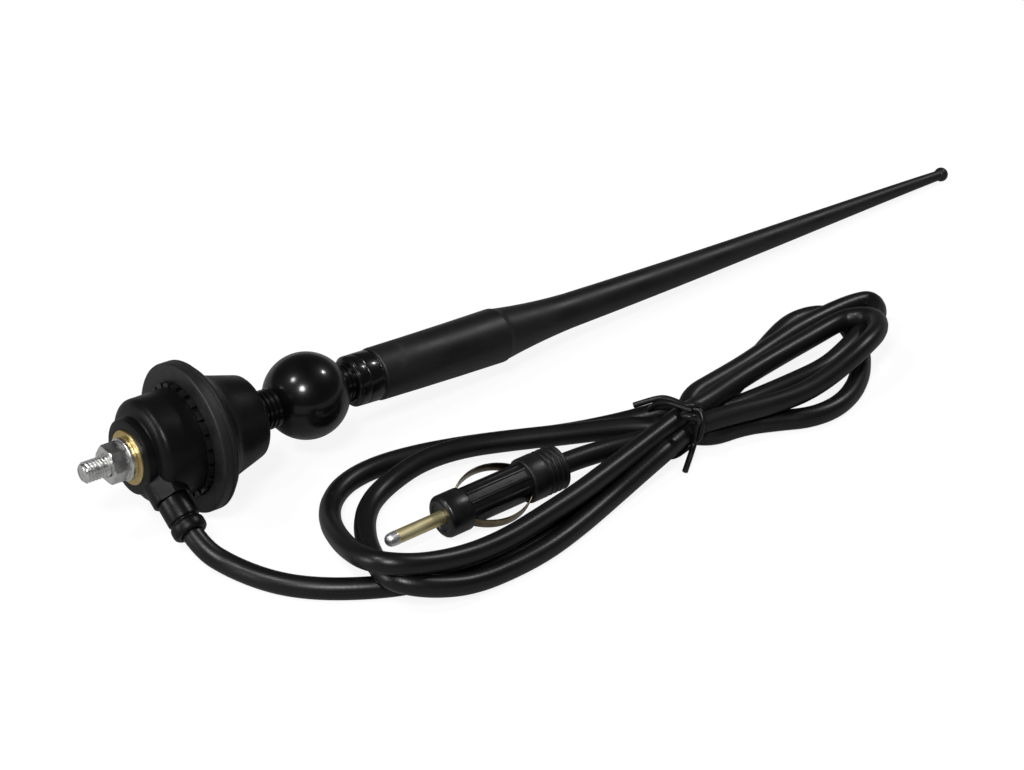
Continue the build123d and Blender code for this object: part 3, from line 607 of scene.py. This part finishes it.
# %% Rubber pad
pad_black = finish(
    "pad_black", ((0.005, 0.005, 0.0053), (0.011, 0.011, 0.0113)), (0.46, 0.6), 5, 0.4, 0.05,
    shine=0.5,
)
pad_outline = [
    (-33.2, 7.6), (-33.2, 13.3), (-33.5, 13.3), (-33.5, 17.1), (-33.44, 17.3), (-33.3, 17.44),
    (-33.1, 17.5), (-31.3, 17.5), (-31.2, 17.22), (-30.9, 17.22), (-30.8, 17.5), (-30.35, 17.46),
    (-30.1, 17.3), (-30.0, 17.0), (-30.0, 7.6), (-33.2, 7.6),
]
flange_pad = turned("flange_pad", pad_outline, 128)
soften(flange_pad, 0.08, 2, 40)
settle(flange_pad, aerial_frame)
dress(flange_pad, "base", pad_black, "rubber", "flange_pad")

# %% [markdown]
# The barrel ends in a lip that holds the brass bush, and its boss leans down towards the camera's
# side. Both are turned and joined with a Boolean union, as one moulding.

# %% Barrel and boss
barrel_outline = [
    (-34.6, 7.6), (-34.6, 12.0), (-34.8, 12.2), (-42.7, 12.2), (-43.2, 12.13), (-43.7, 11.88),
    (-44.15, 11.45), (-44.5, 10.95), (-44.75, 10.3), (-44.9, 9.6), (-45.0, 9.0), (-45.15, 8.8),
    (-47.0, 8.8), (-47.28, 8.68), (-47.4, 8.4), (-47.4, 6.5), (-45.4, 6.5), (-45.4, 4.1),
    (-35.6, 4.1), (-35.6, 7.6), (-34.6, 7.6),
]
barrel = turned("lower_barrel", barrel_outline, 128)
settle(barrel, aerial_frame)
boss = turned("boss", [(8, 0), (8, 4.5), (12.9, 4.5), (13.2, 4.2), (13.2, 0)], 64)
bpy.ops.object.mode_set(mode="EDIT")
bpy.ops.mesh.select_all(action="SELECT")
facet = Vector((0, -0.834, -0.552))
facet_at = 4.05
on_plane = 0.0001 * MM
bpy.ops.mesh.bisect(
    plane_co=facet * (facet_at * MM), plane_no=facet, clear_outer=True, use_fill=True,
    threshold=on_plane,
)
close_mesh()
bpy.ops.object.mode_set(mode="OBJECT")
settle(boss, boss_frame)
carve(barrel, boss, "UNION")
only(barrel)
bpy.ops.object.shade_smooth_by_angle(angle=math.radians(30))
dress(barrel, "base", satin_black, "black_plastic", "lower_barrel")

# %% Grommet
grommet_outline = [
    (13.2, 0), (13.2, 3.55), (13.4, 3.75), (18.4, 3.75), (18.65, 3.6), (18.75, 3.3), (19.05, 3.3),
    (19.2, 3.6), (19.6, 3.9), (20.1, 4.0), (21.2, 4.0), (21.75, 3.85), (22.1, 3.5), (22.2, 3.1),
    (22.2, 2.6), (18.8, 2.6), (18.8, 0),
]
grommet = turned("cable_grommet", grommet_outline, 64)
soften(grommet, 0.06, 2)
settle(grommet, boss_frame)
dress(grommet, "base", satin_black, "rubber", "cable_grommet")

# %% [markdown]
# The bush is turned brass, and the stud, nut and washer are zinc plated steel. The thread is the
# piece to watch: a disc is extruded in steps of a tenth of a millimetre, and each ring's points
# then move in or out with the helix, so that the thread really winds and fades out at the chamfer.

# %% Brass bush and washer
brass = finish(
    "brass", ((0.62, 0.45, 0.17), (0.76, 0.6, 0.28)), (0.28, 0.4), 3, 0.25, 0.012, metallic=1.0,
    shine=0.5, stretch=(4, 1, 1),
)
zinc = finish(
    "zinc", ((0.74, 0.74, 0.73), (0.9, 0.9, 0.88)), (0.22, 0.34), 2, 0.2, 0.012, metallic=1.0,
    shine=0.5,
)
bush_outline = [
    (-47.9, 2.55), (-47.9, 6.2), (-47.7, 6.4), (-45.4, 6.4), (-45.4, 4.0), (-35.6, 4.0),
    (-35.6, 2.55), (-47.9, 2.55),
]
bush = turned("contact_bush", bush_outline)
soften(bush, 0.06, 2)
settle(bush, aerial_frame)
dress(bush, "base", brass, "brass", "contact_bush")
washer = turned(
    "flat_washer", [(-47.9, 2.6), (-47.9, 5.0), (-49.3, 5.0), (-49.3, 2.6), (-47.9, 2.6)],
)
soften(washer, 0.2, 3)
settle(washer, aerial_frame)
dress(washer, "base", zinc, "zinc", "flat_washer")

# %% Threaded stud
thread_pitch = 0.8
crest_r = 2.45
root_r = 1.98
point_r = 1.85
stud_end = -59.3
thread_end = -52.35
ring_step, ring_count = 0.1, 70
plain_len = 38.1
bpy.ops.object.select_all(action="DESELECT")
bpy.ops.mesh.primitive_circle_add(
    vertices=48, radius=crest_r * MM, fill_type="NGON", location=(stud_end * MM, 0, 0),
    rotation=(0, math.pi / 2, 0),
)
stud = bpy.context.active_object
stud.name = stud.data.name = "threaded_stud"
bpy.ops.object.transform_apply(location=True, rotation=True, scale=True)
bpy.ops.object.mode_set(mode="EDIT")
bpy.ops.mesh.select_all(action="SELECT")
for ring in range(ring_count):
    bpy.ops.mesh.extrude_region_move(TRANSFORM_OT_translate={"value": (ring_step * MM, 0, 0)})
bpy.ops.mesh.extrude_region_move(TRANSFORM_OT_translate={"value": (plain_len * MM, 0, 0)})
close_mesh()
bpy.ops.object.mode_set(mode="OBJECT")
for vertex in stud.data.vertices:
    station = vertex.co.x / MM
    angle = math.atan2(vertex.co.z, vertex.co.y)
    turn = ((station - stud_end) / thread_pitch - angle / math.tau) % 1
    flank = min(max(abs(2 * turn - 1) * 1.7 - 0.3, 0), 1)
    radius = root_r + (crest_r - root_r) * flank
    if station > thread_end:
        radius = root_r
    radius = min(radius, point_r + (station - stud_end))
    vertex.co.y = radius * MM * math.cos(angle)
    vertex.co.z = radius * MM * math.sin(angle)
only(stud)
bpy.ops.object.shade_smooth_by_angle(angle=math.radians(50))
settle(stud, aerial_frame)
dress(stud, "base", zinc, "zinc", "threaded_stud")

# %% Nut
nut_corner_r = 4.619
nut_height = 4
nut_middle = -51.3
bpy.ops.object.select_all(action="DESELECT")
bpy.ops.mesh.primitive_cylinder_add(
    vertices=6, radius=nut_corner_r * MM, depth=nut_height * MM, location=(nut_middle * MM, 0, 0),
    rotation=(0, math.pi / 2, 0),
)
nut = bpy.context.active_object
nut.name = nut.data.name = "clamp_nut"
bpy.ops.object.transform_apply(location=True, rotation=True, scale=True)
corner_tool = turned(
    "corner_tool",
    [(-53.3, 0), (-53.3, 4.2), (-53.0, 4.7), (-49.5, 4.7), (-49.3, 4.45), (-49.3, 0)],
)
carve(nut, corner_tool, "INTERSECT")
hole_tool = turned(
    "hole_tool", [(-54, 0), (-54, 2.95), (-53.3, 2.95), (-52.9, 2.5), (-48.5, 2.5), (-48.5, 0)], 48,
)
carve(nut, hole_tool, "DIFFERENCE")
soften(nut, 0.08, 2)
settle(nut, aerial_frame)
dress(nut, "base", zinc, "zinc", "clamp_nut")

# %% [markdown]
# The plug is the usual radio plug: a brass pin with a blob of solder, a moulded head, a ribbed body
# with a flat on each side for a bowed leaf spring, and a soft boot with rings. The ribs are faces
# of a cylinder, pushed out with Inset, and the flats are cut with Bisect.

# %% Pin and solder
pin_piece = turned("plug_pin", [(2.6, 0), (2.6, 1.6), (32.9, 1.6), (32.9, 0)], 64)
soften(pin_piece, 0.04, 2)
settle(pin_piece, plug_frame)
pin_brass = finish(
    "pin_brass", ((0.82, 0.69, 0.34), (0.95, 0.86, 0.54)), (0.42, 0.52), 2, 0.3, 0.008,
    metallic=1.0, shine=0.5, stretch=(0.3, 2, 2),
)
dress(pin_piece, "base", pin_brass, "brass", "plug_pin")
solder_outline = [
    (0, 0), (0.05, 0.35), (0.2, 0.78), (0.5, 1.18), (0.95, 1.46), (1.5, 1.58), (2.4, 1.62),
    (2.85, 1.64), (3.0, 1.6), (3.0, 0),
]
solder_piece = turned("plug_tip", solder_outline, 64)
soften(solder_piece, 0.05, 2)
settle(solder_piece, plug_frame)
solder = finish(
    "solder", ((0.84, 0.84, 0.85), (0.95, 0.95, 0.96)), (0.32, 0.5), 0.8, 0.5, 0.05, metallic=1.0,
    shine=0.5,
)
dress(solder_piece, "base", solder, "solder", "plug_tip")

# %% Head
plug_black = finish(
    "plug_black", ((0.004, 0.004, 0.0043), (0.009, 0.009, 0.0093)), (0.28, 0.4), 3, 0.35, 0.03,
    shine=0.5,
)
head_outline = [
    (15.3, 1.65), (15.3, 3.1), (14.9, 3.5), (14.9, 4.2), (15.05, 4.55), (15.35, 4.85), (15.75, 5.0),
    (20.6, 5.0), (20.9, 4.85), (21.0, 4.6), (21.0, 1.65), (15.3, 1.65),
]
head = turned("plug_head", head_outline, 64)
soften(head, 0.1, 2)
settle(head, plug_frame)
dress(head, "base", plug_black, "black_plastic", "plug_head")

# %% Ribbed body
body_r = 4.4
body_len = 16.7
body_middle = 29.35
rib_spacing, rib_width, rib_offset = 30, 12, 15
flat_at = 4.0
bpy.ops.object.select_all(action="DESELECT")
bpy.ops.mesh.primitive_cylinder_add(
    vertices=72, radius=body_r * MM, depth=body_len * MM, location=(body_middle * MM, 0, 0),
    rotation=(0, math.pi / 2, 0),
)
body = bpy.context.active_object
body.name = body.data.name = "plug_body"
bpy.ops.object.transform_apply(location=True, rotation=True, scale=True)
bpy.ops.object.mode_set(mode="EDIT")
bpy.ops.mesh.select_mode(type="FACE")
bpy.ops.mesh.select_all(action="DESELECT")
bpy.ops.object.mode_set(mode="OBJECT")
for face in body.data.polygons:
    out = math.degrees(math.atan2(face.normal.z, face.normal.y))
    face.select = abs(face.normal.x) < 0.5 and (out + rib_offset) % rib_spacing < rib_width
bpy.ops.object.mode_set(mode="EDIT")
bpy.ops.mesh.inset(thickness=0.12 * MM, depth=0.4 * MM)
for side in (1, -1):
    bpy.ops.mesh.select_all(action="SELECT")
    bpy.ops.mesh.bisect(
        plane_co=(0, side * flat_at * MM, 0), plane_no=(0, side, 0), clear_outer=True,
        use_fill=True, threshold=on_plane,
    )
close_mesh()
bpy.ops.mesh.select_mode(type="VERT")
bpy.ops.object.mode_set(mode="OBJECT")
soften(body, 0.06, 2, 35)
settle(body, plug_frame)
dress(body, "base", plug_black, "black_plastic", "plug_body")

# %% Boot
boot_outline = [(37.7, 0), (37.7, 5.0), (37.95, 5.3), (38.3, 5.35), (41.9, 5.35)]
for ring in range(4):
    at = 41.9 + ring * 1.35
    boot_outline += [
        (at + 0.15, 5.3), (at + 0.35, 4.8), (at + 0.7, 4.8), (at + 0.9, 5.3), (at + 1.2, 5.35),
    ]
boot_outline += [(47.4, 5.3), (47.85, 4.6), (48.1, 3.7), (48.1, 2.6), (44.1, 2.6), (44.1, 0)]
boot = turned("plug_boot", boot_outline, 72)
soften(boot, 0.07, 2)
settle(boot, plug_frame)
boot_black = finish(
    "boot_black", ((0.005, 0.005, 0.0053), (0.009, 0.009, 0.0093)), (0.32, 0.44), 4, 0.4, 0.03,
    shine=0.5,
)
dress(boot, "base", boot_black, "rubber", "plug_boot")

# %% [markdown]
# Each leaf spring is a strip that bows away from its flat. An edge as wide as the strip is extruded
# along the bow, Solidify gives it its thickness and a bevel rounds its edges. The second spring is
# a mirrored copy with a mesh of its own.

# %% Leaf springs
# The springs' colour is painted dark, far below bright nickel: painted shade for the dark
# surroundings that the springs mirror.
nickel = finish(
    "nickel", ((0.12, 0.095, 0.055), (0.28, 0.23, 0.15)), (0.14, 0.26), 3, 0.3, 0.01, metallic=1.0,
    shine=0.5,
)
strip_width, strip_wall = 2.8, 0.35
spring_foot = 4.2
chord, bow = 8.05, 3.0
bow_r = (chord * chord + bow * bow) / (2 * bow)
reach = math.asin(chord / bow_r)
bends = [reach * (k / 12 - 1) for k in range(25)]
bow_top = spring_foot + bow - bow_r
bow_path = [(body_middle + bow_r * math.sin(a), bow_top + bow_r * math.cos(a)) for a in bends]
bpy.ops.object.select_all(action="DESELECT")
bpy.ops.mesh.primitive_plane_add(size=strip_width * MM)
far_spring = bpy.context.active_object
far_spring.name = far_spring.data.name = "plug_spring_far"
bpy.ops.object.mode_set(mode="EDIT")
bpy.ops.mesh.delete(type="ONLY_FACE")
bpy.ops.mesh.select_all(action="DESELECT")
bpy.ops.object.mode_set(mode="OBJECT")
for vertex in far_spring.data.vertices:
    vertex.select = vertex.co.y < 0
bpy.ops.object.mode_set(mode="EDIT")
bpy.ops.mesh.delete(type="VERT")
bpy.ops.mesh.select_all(action="SELECT")
bpy.ops.transform.rotate(value=math.pi / 2, orient_axis="Y", center_override=(0, 0, 0))
foot_x, foot_y = bow_path[0]
bpy.ops.transform.translate(value=(foot_x * MM, (foot_y - strip_width / 2) * MM, 0))
for (x0, y0), (x1, y1) in zip(bow_path, bow_path[1:]):
    step = ((x1 - x0) * MM, (y1 - y0) * MM, 0)
    bpy.ops.mesh.extrude_region_move(TRANSFORM_OT_translate={"value": step})
bpy.ops.mesh.select_all(action="SELECT")
bpy.ops.mesh.normals_make_consistent(inside=False)
bpy.ops.object.mode_set(mode="OBJECT")
bpy.ops.object.modifier_add(type="SOLIDIFY")
wall = far_spring.modifiers[-1]
wall.thickness = strip_wall * MM
wall.offset = 0
bpy.ops.object.modifier_apply(modifier=wall.name)
soften(far_spring, 0.08, 2)
only(far_spring)
bpy.ops.object.duplicate()
near_spring = bpy.context.active_object
near_spring.name = near_spring.data.name = "plug_spring_near"
near_spring.scale.y = -1
bpy.ops.object.transform_apply(location=True, rotation=True, scale=True)
bpy.ops.object.mode_set(mode="EDIT")
close_mesh()
bpy.ops.object.mode_set(mode="OBJECT")
for spring, stands_for in ((far_spring, "plug_spring_far"), (near_spring, "plug_spring_near")):
    settle(spring, plug_frame)
    dress(spring, "base", nickel, "nickel", stands_for)

# %% [markdown]
# A plastic covered wire is twisted round the crossing of the figure of eight. Its two ends stick
# out, one to the left and one down. It is a thin curve of its own, with one spline for the knot and
# its ends and one for the loop round the cable.

# %% Twist tie
tie_knot = [
    lay(62.4, -42.9, 9.5), lay(63.7, -44, 10.2), lay(65, -45, 10.8), lay(66.4, -46.1, 11.4),
    lay(67.6, -47.6, 12), lay(68.2, -50.3, 12.4), lay(68.5, -53.4, 12.6), lay(69.2, -55.4, 13.2),
    lay(70.8, -55.9, 13.2), lay(71.9, -55.6, 11.5), lay(70.4, -55.6, 11), lay(67.6, -55.2, 12),
    lay(64.9, -56.9, 13), lay(65.4, -58.7, 13.4), lay(67.1, -59.4, 13), lay(68.5, -58.8, 11),
    lay(68.4, -58, 9), lay(69, -57.6, 6), lay(68.5, -57.4, 3.6), lay(65.6, -59.3, 2.2),
    lay(62.6, -61.2, 0.8),
]
tie_loop = [
    lay(69.1, -54.9, 12), lay(70.6, -56.3, 12.3), lay(70.3, -58.1, 11), lay(69.5, -58.9, 9),
    lay(69.1, -58.7, 6), lay(69.2, -57, 4), lay(67.2, -56.2, 2.4), lay(63.6, -56.4, 1.8),
    lay(61.8, -54.4, 1.6), lay(64.8, -48, 1.5), lay(66.4, -42.6, 3), lay(66, -43.9, 7),
    lay(66.1, -46.5, 10.5), lay(66.9, -49.8, 12.2), lay(67.6, -53.8, 12.6), lay(68.4, -56.4, 12.6),
]
twist_tie = drawn_wire("twist_tie_wire", [tie_knot, tie_loop], 0.7, 4)
tie_black = finish(
    "tie_black", ((0.004, 0.004, 0.0043), (0.008, 0.008, 0.0083)), (0.3, 0.42), 3, 0.4, 0.02,
)
dress(twist_tie, "base", tie_black, "cable", "twist_tie")

# %% [markdown]

# %% [markdown]
# A few solids are fine as they come from CAD: the toothed ring, whose faces are flat, and the small
# pieces inside. They only need their finishes.

# %% Finishes for the CAD solids that stay
ring_black = finish(
    "ring_black", ((0.006, 0.006, 0.0065), (0.012, 0.012, 0.0125)), (0.2, 0.34), 3, 0.3, 0.02,
)
for name, material in (
    ("earth_ring", ring_black),
    ("spring_washer", zinc),
    ("ball_screw", zinc),
    ("core_wire", brass),
    ("mast_insert", brass),
    ("mast_core", zinc),
):
    solid = frame["nodes"][name]
    solid.data.materials.clear()
    solid.data.materials.append(material)
    print(name, "keeps its CAD shape")
